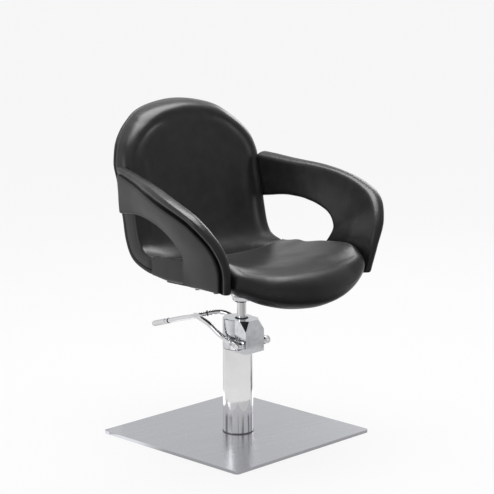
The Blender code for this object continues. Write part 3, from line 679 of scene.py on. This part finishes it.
def back_top(x, z, rim):
    """Depth of the back's face: a shallow valley inside its rolled border, a hump, then a crown."""
    side = blend(0.0, 1.0, (abs(x) - 0.03) / 0.09) * blend(0.0, 1.0, (z - 0.47) / 0.08)
    valley = 0.0030 * exp(-((rim - 0.0280) / 0.0080) ** 2) * side
    hump = 0.0032 * exp(-((rim - 0.050) / 0.0155) ** 2) * side
    crown = 0.0030 * blend(0.0, 1.0, (rim - 0.035) / 0.09)
    return 0.0010 + valley - hump - crown


def back_profile(p):
    """Rings of the cushion's side: a front roll, larger higher up, a bulging flank, a small tail."""
    high = blend(0.0, 1.0, (p.y - 0.60) / 0.1)
    across = 0.007 + 0.003 * blend(0.0, 1.0, (p.y - 0.46) / 0.06) + 0.010 * high
    deep = across + 0.010 * high
    tail = 0.0035
    room = max(back_thick(p.x, p.y) - BACK_SPLIT - deep - tail, 0.001)
    rings = [(inset, drop * deep / across, None) for inset, drop in quarter(across, 8)]
    rings += [(-bulge, None, tail + room * share)
              for bulge, share in ((0.0004, 0.78), (0.0008, 0.54), (0.0006, 0.32), (0.0, 0.12))]
    rings += [(inset, None, lift) for inset, lift in quarter(tail, 3, rising=True)]
    return rings


def rear_profile(_):
    """Rings of the rear shell's side: a thin lip at the cushion, then a roll to the rear."""
    lip, roll = 0.0028, 0.0065
    rings = [(inset, drop, None) for inset, drop in quarter(lip, 3)]
    rings += [(inset - 0.0006, None, lift) for inset, lift in quarter(roll, 5, rising=True)]
    return rings


def back_bottom(x, z, _):
    """Rear side of the cushion, where it meets the shell."""
    return back_thick(x, z) - BACK_SPLIT - SKIN_GAP


def rear_top(x, z, _):
    """Front side of the rear shell, where it meets the cushion."""
    return back_thick(x, z) - BACK_SPLIT + SKIN_GAP


def rear_bottom(x, z, rim):
    """Outside of the rear shell: a soft crown inside a sewn channel."""
    crown = 0.0022 * blend(0.0, 1.0, (rim - 0.01) / 0.10)
    return back_thick(x, z) + crown - 0.0018 * exp(-((rim - 0.019) / 0.004) ** 2)


def build_back(leather_mat, shell_mat, thread_mat):
    """Back cushion, its rear shell, and the stitches in the shell's channel."""
    outline = half_outline(BACK_OUTLINE, OUTLINE_STEPS)
    face, rows = cushion("backrest_cushion_cover", outline, BACK_CELLS, back_place, back_top,
                         back_bottom, back_profile, leather_mat, "seat")
    total = len(face.data.vertices)
    rear_grid = range(total - (BACK_CELLS + 1) ** 2, total)
    sewn = set(rows[-1]) | set(rows[-2]) | set(rear_grid)
    sewn |= {i for i, v in enumerate(face.data.vertices) if v.co.z < BACK_FOOT_Z}
    inflate(face, sewn, 4.0, 20, 0.0035)
    settle(face, lambda p: 0.0005 * ripple(p, 22.0, 3.0))
    refine(face)
    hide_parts("backrest_cushion")

    shell, rows = cushion("backrest_rear_cover", outline, REAR_CELLS, back_place, rear_top,
                          rear_bottom, rear_profile, shell_mat, "seat")
    front_grid = range((REAR_CELLS + 1) ** 2)
    inflate(shell, set(rows[0]) | set(rows[1]) | set(front_grid), 3.0, 12, 0.002)
    refine(shell)
    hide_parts("backrest_rear_panel")

    ring = even(outline, REAR_LANE_POINTS)
    lane = []
    for p, inward in zip(ring, inward_normals(ring)):
        x, z = p.x + inward.x * REAR_LANE_INSET, p.y + inward.y * REAR_LANE_INSET
        lane.append(back_place(x, z, back_thick(p.x, p.y)))
    stitches("backrest_rear_stitches", shell, lane + lane[:1], thread_mat, "seat", 0.0052, 0.0036)


# ---------------------------------------------------------------- seat
# half outline as (x, y), from the rear edge's middle to the nose
SEAT_OUTLINE = ((0.0, 0.0985), (0.110, 0.0990), (0.203, 0.1030), (0.2112, 0.1015), (0.2112, 0.055),
                (0.2085, 0.000), (0.2055, -0.065), (0.2060, -0.140), (0.2065, -0.226), (0.1905, -0.272),
                (0.1100, -0.3120), (0.0, -0.328))


def seat_top(x, y, rim):
    """Height of the seat's top: dished between its sides, higher at the front, softly crowned."""
    rise = 0.469 + 0.022 * blend(0.0, 1.0, (0.05 - y) / 0.28)
    edge = 0.019 + 0.014 * blend(0.0, 1.0, (0.100 - y) / 0.10) + 0.006 * blend(0.0, 1.0, -y / 0.10)
    fade = blend(1.0, 0.10, (-0.215 - y) / 0.085)
    crown = 0.0035 * blend(0.0, 1.0, (rim - 0.02) / 0.10)
    return rise + edge * fade * abs(x / SEAT_HALF) ** 2.2 + crown


def seat_sole(x, y, _):
    """Height of the seat's underside: along the tilted board, then drawn down under the nose."""
    plane = 0.4265 - 0.068 * y
    nose = blend(0.0, 1.0, (-0.170 - y) / 0.095)
    edge = 0.012 + 0.009 * blend(0.0, 1.0, (y - 0.03) / 0.08) + 0.012 * blend(0.0, 1.0, -y / 0.15)
    middle = plane + (0.402 - plane) * nose
    return middle + (edge + 0.033 * nose) * abs(x / SEAT_HALF) ** 2.2


def seat_profile(p):
    """Rings of the seat's side: rolls at top and bottom, large at the nose, with a seam at the sides."""
    nose = blend(0.0, 1.0, (-0.19 - p.y) / 0.08)
    foot = blend(0.0, 1.0, (p.y - 0.065) / 0.02)
    corner = nose * blend(0.0, 1.0, (abs(p.x) - 0.13) / 0.07)
    upper = 0.011 + 0.035 * nose - 0.022 * corner - 0.005 * blend(0.0, 1.0, (p.y + 0.03) / 0.07)
    lower = 0.010 + 0.030 * nose - 0.003 * foot
    seam = 0.0016 * (1.0 - nose)
    rings = [(inset, drop, None) for inset, drop in quarter(upper, 8)]
    rings[2] = (rings[2][0] + seam, rings[2][1] + seam * 0.6, None)
    rings += [(inset, None, lift) for inset, lift in quarter(lower, 8, rising=True)]
    return rings


def build_seat(leather_mat):
    """Seat cushion; its underside and its rear end, which the back's foot covers, stay sewn down."""
    outline = half_outline(SEAT_OUTLINE, OUTLINE_STEPS)
    seat, rows = cushion("seat_cushion_cover", outline, SEAT_CELLS, lambda x, y, z: Vector((x, y, z)),
                         seat_top, seat_sole, seat_profile, leather_mat, "seat")
    total = len(seat.data.vertices)
    sole_grid = range(total - (SEAT_CELLS + 1) ** 2, total)
    sewn = set(sole_grid) | set(rows[-1]) | set(rows[-2])
    sewn |= {i for row in rows for i in row if seat.data.vertices[i].co.y > SEAT_REAR_Y}
    inflate(seat, sewn, 4.0, 20, 0.0035)
    settle(seat, lambda p: 0.0006 * ripple(p, 18.0, 9.0))
    refine(seat)
    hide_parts("seat_cushion")


# ---------------------------------------------------------------- arms
# the right arm's ridge, and the edge of its opening below it, from the back to the seat's side
ARM_TOP = ((0.2230, 0.2240, 0.712), (0.246, 0.105, 0.705), (0.275, 0.000, 0.699),
           (0.291, -0.110, 0.680), (0.284, -0.203, 0.647), (0.255, -0.257, 0.589),
           (0.231, -0.267, 0.528), (0.219, -0.255, 0.4560))
ARM_EDGE = ((0.2230, 0.211, 0.590), (0.237, 0.105, 0.605), (0.243, 0.020, 0.601),
            (0.247, -0.050, 0.583), (0.243, -0.086, 0.556), (0.232, -0.092, 0.525),
            (0.222, -0.070, 0.490), (0.2165, -0.060, 0.450))


def groove(u):
    """How far below the ridge the outer panel starts."""
    return 0.019 + 0.011 * blend(0.0, 1.0, u / 0.45)


def arm_frame(u):
    """Ridge point, downward and outward directions, width and thickness at u along the arm."""
    ridge = spline(ARM_TOP, u)
    edge = spline(ARM_EDGE, u)
    down = (edge - ridge).normalized()
    out = Vector((1.0, 0.0, 0.0))
    out = (out - down * out.dot(down)).normalized()
    return ridge, down, out, (edge - ridge).length, blend(0.036, 0.021, (u - 0.55) / 0.4)


def arm_point(u, s, n, side):
    """Point of an arm section: s down from the ridge, n outward from its middle plane.

    Near its lower end the arm's inner face is drawn in to the side of the seat.
    """
    ridge, down, out, width, thick = arm_frame(u)
    crown = 0.008 * sqrt(max(sin(pi * min(max(u, 0.0), 1.0)), 0.0))
    share = min(max(s / width, 0.0), 1.0)
    p = ridge + down * s + out * (n + crown * sin(pi * share))
    if n < 0.0:
        reach = blend(0.0, 1.0, (u - 0.60) / 0.22) * blend(0.0, 1.0, (share - 0.05) / 0.5)
        p.x += (min(p.x, ARM_INNER_X) - p.x) * reach * min(-2.0 * n / thick, 1.0)
    return Vector((p.x * side, p.y, p.z))


def pad_section(u):
    """Closed outline of the pad: groove, roll over the ridge, inner face, rim, mating face."""
    _, _, _, width, thick = arm_frame(u)
    r = thick / 2
    step = groove(u)
    dip = 0.0050 + 0.0045 * blend(0.0, 1.0, (u - 0.10) / 0.4)
    split = r - PANEL_DEPTH
    roll = min(0.0082, r * 0.8)
    points = [(step + 0.0030, split), (step + 0.0026, r - dip - 0.0006), (step + 0.0010, r - dip)]
    for k in range(6):
        share = (k + 0.5) / 6
        points.append((step + (roll - step) * share, r - dip * blend(1.0, 0.0, share)))
    for k in range(9):
        angle = pi / 2 * k / 8
        points.append((roll - roll * sin(angle), r - roll + roll * cos(angle)))
    inner = 2 * r - roll
    for k in range(1, 11):
        angle = pi / 2 * k / 10
        points.append((r * (1 - cos(angle)), r - roll - inner * sin(angle)))
    for share in (0.26, 0.36, 0.46, 0.56, 0.66, 0.76, 0.86):
        points.append((r + (width - r) * share, -r - 0.0012 * sin(pi * share)))
    rim = 0.0085
    for k in range(6):
        angle = pi / 2 * k / 5
        points.append((width - rim + rim * sin(angle), -r + rim - rim * cos(angle)))
    points.append((width, split - 0.0012))
    points.append((width - 0.0012, split))
    for share in (0.85, 0.62, 0.40, 0.2):
        points.append((step + (width - step) * share, split))
    return points


def panel_section(u):
    """Closed outline of the outer panel: a thin padded skin with turned-in edges."""
    _, _, _, width, thick = arm_frame(u)
    r = thick / 2
    low = r - PANEL_DEPTH + SKIN_GAP
    start = groove(u) + 0.0006
    turn = 0.0036
    points = [(start + 0.0006, low), (start, low + 0.0020)]
    for k in range(6):
        angle = pi / 2 * k / 5
        points.append((start + turn * (1 - cos(angle)), r - turn * (1 - sin(angle))))
    for share in (0.10, 0.2, 0.32, 0.44, 0.56, 0.68, 0.8, 0.9):
        points.append((start + turn + (width - start - 2 * turn) * share, r + 0.0012 * sin(pi * share)))
    for k in range(6):
        angle = pi / 2 * k / 5
        points.append((width - turn * (1 - sin(angle)), r - turn * (1 - cos(angle))))
    points.append((width - 0.0006, low + 0.0010))
    for share in (0.9, 0.66, 0.42, 0.2):
        points.append((start + (width - start) * share, low))
    return points


def swept(name, section, steps, side, mat, body, round_ends=0.004):
    """Skin a section along the arm; both ends are drawn in and closed with rings."""
    rows = []
    for k in range(steps + 1):
        u = k / steps
        rows.append([arm_point(u, s, n, side) for s, n in section(u)])
    count = len(rows[0])

    def cap(row, beyond):
        middle = sum(row, Vector()) / count
        way = (middle - beyond).normalized()
        rings = []
        for share in (0.5, 1.0):
            pull = round_ends * (1 - cos(pi / 2 * share))
            push = round_ends * (sin(pi / 2 * share) - 1.0)
            rings.append([p + (middle - p).normalized() * pull + way * push for p in row])
        for shrink in (0.75, 0.45, 0.15):
            rings.append([middle + (p - middle) * shrink for p in rings[1]])
        return rings

    first = cap(rows[0], sum(rows[1], Vector()) / count)
    last = cap(rows[-1], sum(rows[-2], Vector()) / count)
    rows[0] = first[0]
    rows[-1] = last[0]
    stack = first[:0:-1] + rows + last[1:]
    verts = [p for row in stack for p in row]
    faces = []
    for k in range(len(stack) - 1):
        for i in range(count):
            j = (i + 1) % count
            faces.append((k * count + i, k * count + j, (k + 1) * count + j, (k + 1) * count + i))
    start, end = len(verts), len(verts) + 1
    verts += [sum(stack[0], Vector()) / count, sum(stack[-1], Vector()) / count]
    top = (len(stack) - 1) * count
    for i in range(count):
        j = (i + 1) % count
        faces.append((j, i, start))
        faces.append((top + i, top + j, end))
    return make(name, verts, faces, mat, body)


def build_arm(word, side, leather_mat, shell_mat, thread_mat):
    """One arm: pad, outer panel and the panel's two rows of stitches; side is 1 for the +X arm."""
    pad = swept(word + "_arm_pad_cover", pad_section, ARM_STEPS, side, leather_mat, "seat")
    settle(pad, lambda p: 0.0006 * ripple(p, 30.0, 5.0 + side) + 0.0003 * ripple(p, 85.0, 1.0))
    refine(pad)
    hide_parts(word + "_arm_pad")
    panel = swept(word + "_arm_outer_cover", panel_section, ARM_STEPS, side, shell_mat, "seat",
                  0.003)
    settle(panel, lambda p: 0.0005 * ripple(p, 16.0, 7.0 + side))
    refine(panel)
    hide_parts(word + "_arm_outer_panel")

    def lane(inset, from_top):
        path = []
        for k in range(ARM_LANE_STEPS + 1):
            u = 0.012 + 0.976 * k / ARM_LANE_STEPS
            _, _, _, width, thick = arm_frame(u)
            s = groove(u) + inset if from_top else width - inset
            path.append(arm_point(u, s, thick / 2 + 0.001, side))
        return path

    stitches(word + "_arm_upper_stitches", panel, lane(0.0062, True), thread_mat, "seat")
    stitches(word + "_arm_lower_stitches", panel, lane(0.0058, False), thread_mat, "seat")


# ---------------------------------------------------------------- metalwork
def dress_metal(mats):
    """Give every CAD node of metal, rubber or wood its finish."""
    nodes = frame["nodes"]
    finishes = {"floor_plate": "plate", "mounting_plate": "steel", "lever_axle": "steel",
                "pump_cam": "steel", "pump_plunger": "steel", "piston_ring": "steel",
                "column_cover_tube": "tube", "pump_head": "head", "foot_lever_fork": "bar",
                "foot_lever_tip_sleeve": "bar", "axle_cap_left": "bar", "axle_knob_right": "bar",
                "piston_rod": "bar", "pump_cylinder": "cast", "swivel_hub": "bar",
                "column_foot_ring": "bolt", "piston_gland": "dark", "foot_lever_ring_front": "dark",
                "foot_lever_ring_rear": "dark", "seat_board": "board"}
    for k in range(1, 5):
        finishes["mounting_bolt_%d" % k] = "bolt"
        finishes["pump_flange_screw_%d" % k] = "steel"
    for name, finish in finishes.items():
        node = nodes[name]
        node.data.materials.clear()
        node.data.materials.append(mats[finish])


def polish_lever(mat):
    """The lever's bars as drawn rod: the CAD bars smooth, and 0.8 mm fuller away from the axle."""
    node = frame["nodes"]["foot_lever_fork"]
    pivot = next(joint for joint in frame["joints"] if joint["name"] == "pedal_pivot")
    axle = Vector(pivot["pos_m"])
    bm = bmesh.new()
    bm.from_mesh(node.data)
    bmesh.ops.remove_doubles(bm, verts=bm.verts[:], dist=0.00002)
    bm.normal_update()
    spots = [(v, node.matrix_world @ v.co, v.normal.copy()) for v in bm.verts]
    for v, spot, out in spots:
        v.co += out * (0.0008 * blend(0.0, 1.0, ((spot - axle).length - 0.035) / 0.03))
    mesh = bpy.data.meshes.new("foot_lever_bars")
    bm.to_mesh(mesh)
    bm.free()
    for poly in mesh.polygons:
        poly.use_smooth = True
    mesh.set_sharp_from_angle(angle=radians(40.0))
    mesh.materials.clear()
    mesh.materials.append(mat)
    bars = bpy.data.objects.new("foot_lever_bars", mesh)
    bpy.context.scene.collection.objects.link(bars)
    bars.matrix_world = node.matrix_world
    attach(bars, "pedal")
    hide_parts("foot_lever_fork")


# ---------------------------------------------------------------- stage, light and camera
def build_stage():
    """Everything round the chair but the lights and the camera."""
    build_floor()
    build_floor_glow()
    build_reflector()
    build_world()


def build_floor():
    """The pale floor that the camera sees."""
    floor = Nodes("studio_floor")
    where = floor.place()
    floor.feed(floor.shader.inputs["Base Color"],
               floor.mix(floor.noise(where, 1.5, 3.0), grey(0.045), grey(0.055)))
    floor.set(Roughness=0.9, Emission_Color=WHITE, Emission_Strength=FLOOR_LEVEL, Specular_IOR_Level=0.0)
    seen = flat_square("studio_floor", 60.0, -0.0005, floor.mat)
    seen.visible_glossy = False
    seen.visible_diffuse = False


def build_floor_glow():
    """An unseen floor that lights and is mirrored, brighter behind the chair than in front of it, with a
    painted shadow dimming it round the chair except behind.
    """
    glow = Nodes("floor_glow")
    where = glow.place()
    reach = glow.add("ShaderNodeVectorMath", {0: where}, operation="LENGTH").outputs["Value"]
    split = glow.add("ShaderNodeSeparateXYZ", {0: where}).outputs
    across = glow.math("DIVIDE", split["X"], reach)
    along = glow.math("DIVIDE", split["Y"], reach)
    behind = glow.remap(along, -0.5, 0.7, 0.33, 0.74)
    left = glow.remap(across, -0.9, -0.1, 0.28, 0.0)
    right = glow.remap(across, 0.55, 0.95, 0.0, 0.40)
    front = glow.remap(along, -0.85, -0.45, 0.13, 0.0)
    open_back = glow.remap(along, 0.0, 0.4, 0.0, 1.0)
    # painted shadow: the glow drops to 0.15 within half a metre of the chair and recovers by 1.2 m, except
    # behind it
    painted_shadow_near = glow.math("MINIMUM", glow.math("ADD", glow.remap(reach, 0.50, 1.20, 0.15, 1.0), open_back), 1.0)
    sides = glow.math("ADD", glow.math("ADD", left, right), front)
    far = glow.math("MULTIPLY", glow.math("ADD", behind, sides), painted_shadow_near)
    level = glow.math("ADD", far, glow.remap(reach, 0.42, 0.47, 0.50, 0.0))
    glow.feed(glow.shader.inputs["Emission Color"], grey(1.0))
    glow.feed(glow.shader.inputs["Emission Strength"], level)
    glow.set(Base_Color=grey(0.0), Specular_IOR_Level=0.0)
    unseen = flat_square("floor_glow", 30.0, -0.003, glow.mat)
    unseen.visible_camera = False


def build_reflector():
    """A low curved card round the front of the column's foot, seen only in reflections."""
    card = Nodes("reflector_card")
    height = card.add("ShaderNodeSeparateXYZ", {0: card.place()}).outputs["Z"]
    card.feed(card.shader.inputs["Emission Strength"], card.remap(height, 0.0, CARD_HEIGHT, 0.84, 0.74))
    card.set(Base_Color=grey(0.0), Emission_Color=WHITE, Specular_IOR_Level=0.0)
    verts, faces = [], []
    for k in range(CARD_CELLS + 1):
        angle = CARD_TURN + CARD_STEP * (k - CARD_CELLS // 2)
        x, y = CARD_RADIUS * cos(angle), CARD_RADIUS * sin(angle)
        verts += [(x, y, 0.001), (x, y, CARD_HEIGHT)]
    for k in range(CARD_CELLS):
        faces.append((2 * k, 2 * k + 2, 2 * k + 3, 2 * k + 1))
    ring = make("reflector_card", verts, faces, card.mat, None)
    ring.visible_camera = False
    ring.visible_diffuse = False
    ring.visible_shadow = False


def build_world():
    """The studio's walls: pale all round, and brighter at the sides, at both ends and overhead."""
    world = bpy.data.worlds.new("studio")
    bpy.context.scene.world = world
    world.use_nodes = True
    tree = world.node_tree
    back = tree.nodes["Background"]
    coords = tree.nodes.new("ShaderNodeTexCoord")
    split = tree.nodes.new("ShaderNodeSeparateXYZ")
    tree.links.new(coords.outputs["Generated"], split.inputs[0])

    def term(axis, low, high, to_low, to_high):
        node = tree.nodes.new("ShaderNodeMapRange")
        node.interpolation_type = "SMOOTHSTEP"
        tree.links.new(split.outputs[axis], node.inputs[0])
        for k, value in enumerate((low, high, to_low, to_high)):
            node.inputs[k + 1].default_value = value
        return node.outputs[0]

    def plus(a, b):
        node = tree.nodes.new("ShaderNodeMath")
        node.operation = "ADD"
        tree.links.new(a, node.inputs[0])
        tree.links.new(b, node.inputs[1])
        return node.outputs[0]

    sides = plus(term("X", -0.9, 0.1, 0.24, 0.0), term("X", 0.5, 1.0, 0.0, 0.34))
    ends = plus(term("Y", -0.1, 0.7, 0.0, 0.38), term("Y", -1.0, -0.82, 0.30, 0.0))
    level = plus(plus(sides, term("Z", 0.35, 0.90, 0.38, 0.46)), ends)
    tree.links.new(level, back.inputs["Strength"])
    back.inputs["Color"].default_value = (0.98, 0.99, 1.0, 1.0)


def flat_square(name, half, z, mat):
    """A level square of the stage."""
    sheet = make(name, [(-half, -half, z), (half, -half, z), (half, half, z), (-half, half, z)],
                 [(0, 1, 2, 3)], mat, None)
    return sheet


def softbox(name, at, target, size, power):
    """A rectangular area light at one place, facing the target."""
    light = bpy.data.lights.new(name, "AREA")
    light.shape = "RECTANGLE"
    light.size, light.size_y = size
    light.energy = power
    obj = bpy.data.objects.new(name, light)
    bpy.context.scene.collection.objects.link(obj)
    obj.location = at
    obj.rotation_euler = (Vector(target) - Vector(at)).to_track_quat("-Z", "Y").to_euler()


def build_lights():
    """One large box overhead and a weaker one on each side."""
    middle = (0.0, 0.0, 0.5)
    softbox("overhead_box", (0.15, 0.25, 2.5), middle, (1.7, 1.6), 84.0)
    softbox("left_box", (-2.7, 0.2, 1.2), middle, (1.0, 1.4), 13.0)
    softbox("right_box", (2.3, 1.1, 1.65), middle, (1.1, 0.9), 16.0)


def build_camera():
    """A long lens, from the sitter's right front and a little above."""
    lens = bpy.data.cameras.new("photo_view")
    lens.sensor_width = 36.0
    lens.lens = 138.4
    lens.clip_end = 300.0
    cam = bpy.data.objects.new("photo_view", lens)
    cam.location = (-2.806, -3.936, 1.518)
    cam.rotation_euler = (radians(78.19), 0.0, radians(-35.65))
    bpy.context.scene.collection.objects.link(cam)
    bpy.context.scene.camera = cam


# ---------------------------------------------------------------- build
def main():
    scene = bpy.context.scene
    scene.view_settings.view_transform = "Standard"
    build_camera()
    build_stage()
    build_lights()
    leather_mat = leather("black_leather_grain", 0.0075, 0.0125, 0.27, 0.34)
    shell_mat = leather("shell_leather_grain", 0.0065, 0.0105, 0.35, 0.43)
    thread_mat = thread("black_thread")
    turn = -BASE_TURN
    mats = {"plate": brushed("brushed_plate", (0.52, 0.525, 0.55), 0.19, 0.25, turn),
            "bolt": brushed("zinc_bolt", (0.20, 0.20, 0.21), 0.30, 0.42, turn, False),
            "steel": brushed("brushed_parts", (0.60, 0.60, 0.59), 0.26, 0.36, turn, False),
            # the tube's chrome carries painted reflection streaks at its foot
            "tube": chrome("chrome_tube", 1.0, 0.8), "bar": chrome("chrome_bar", 0.82),
            "head": cast_chrome("chrome_casting"), "cast": cast("satin_casting"),
            "dark": rubber("dark_rubber"), "board": board("painted_plywood")}
    dress_metal(mats)
    polish_lever(mats["bar"])
    build_back(leather_mat, shell_mat, thread_mat)
    build_seat(leather_mat)
    build_arm("right", 1, leather_mat, shell_mat, thread_mat)
    build_arm("left", -1, leather_mat, shell_mat, thread_mat)


main()
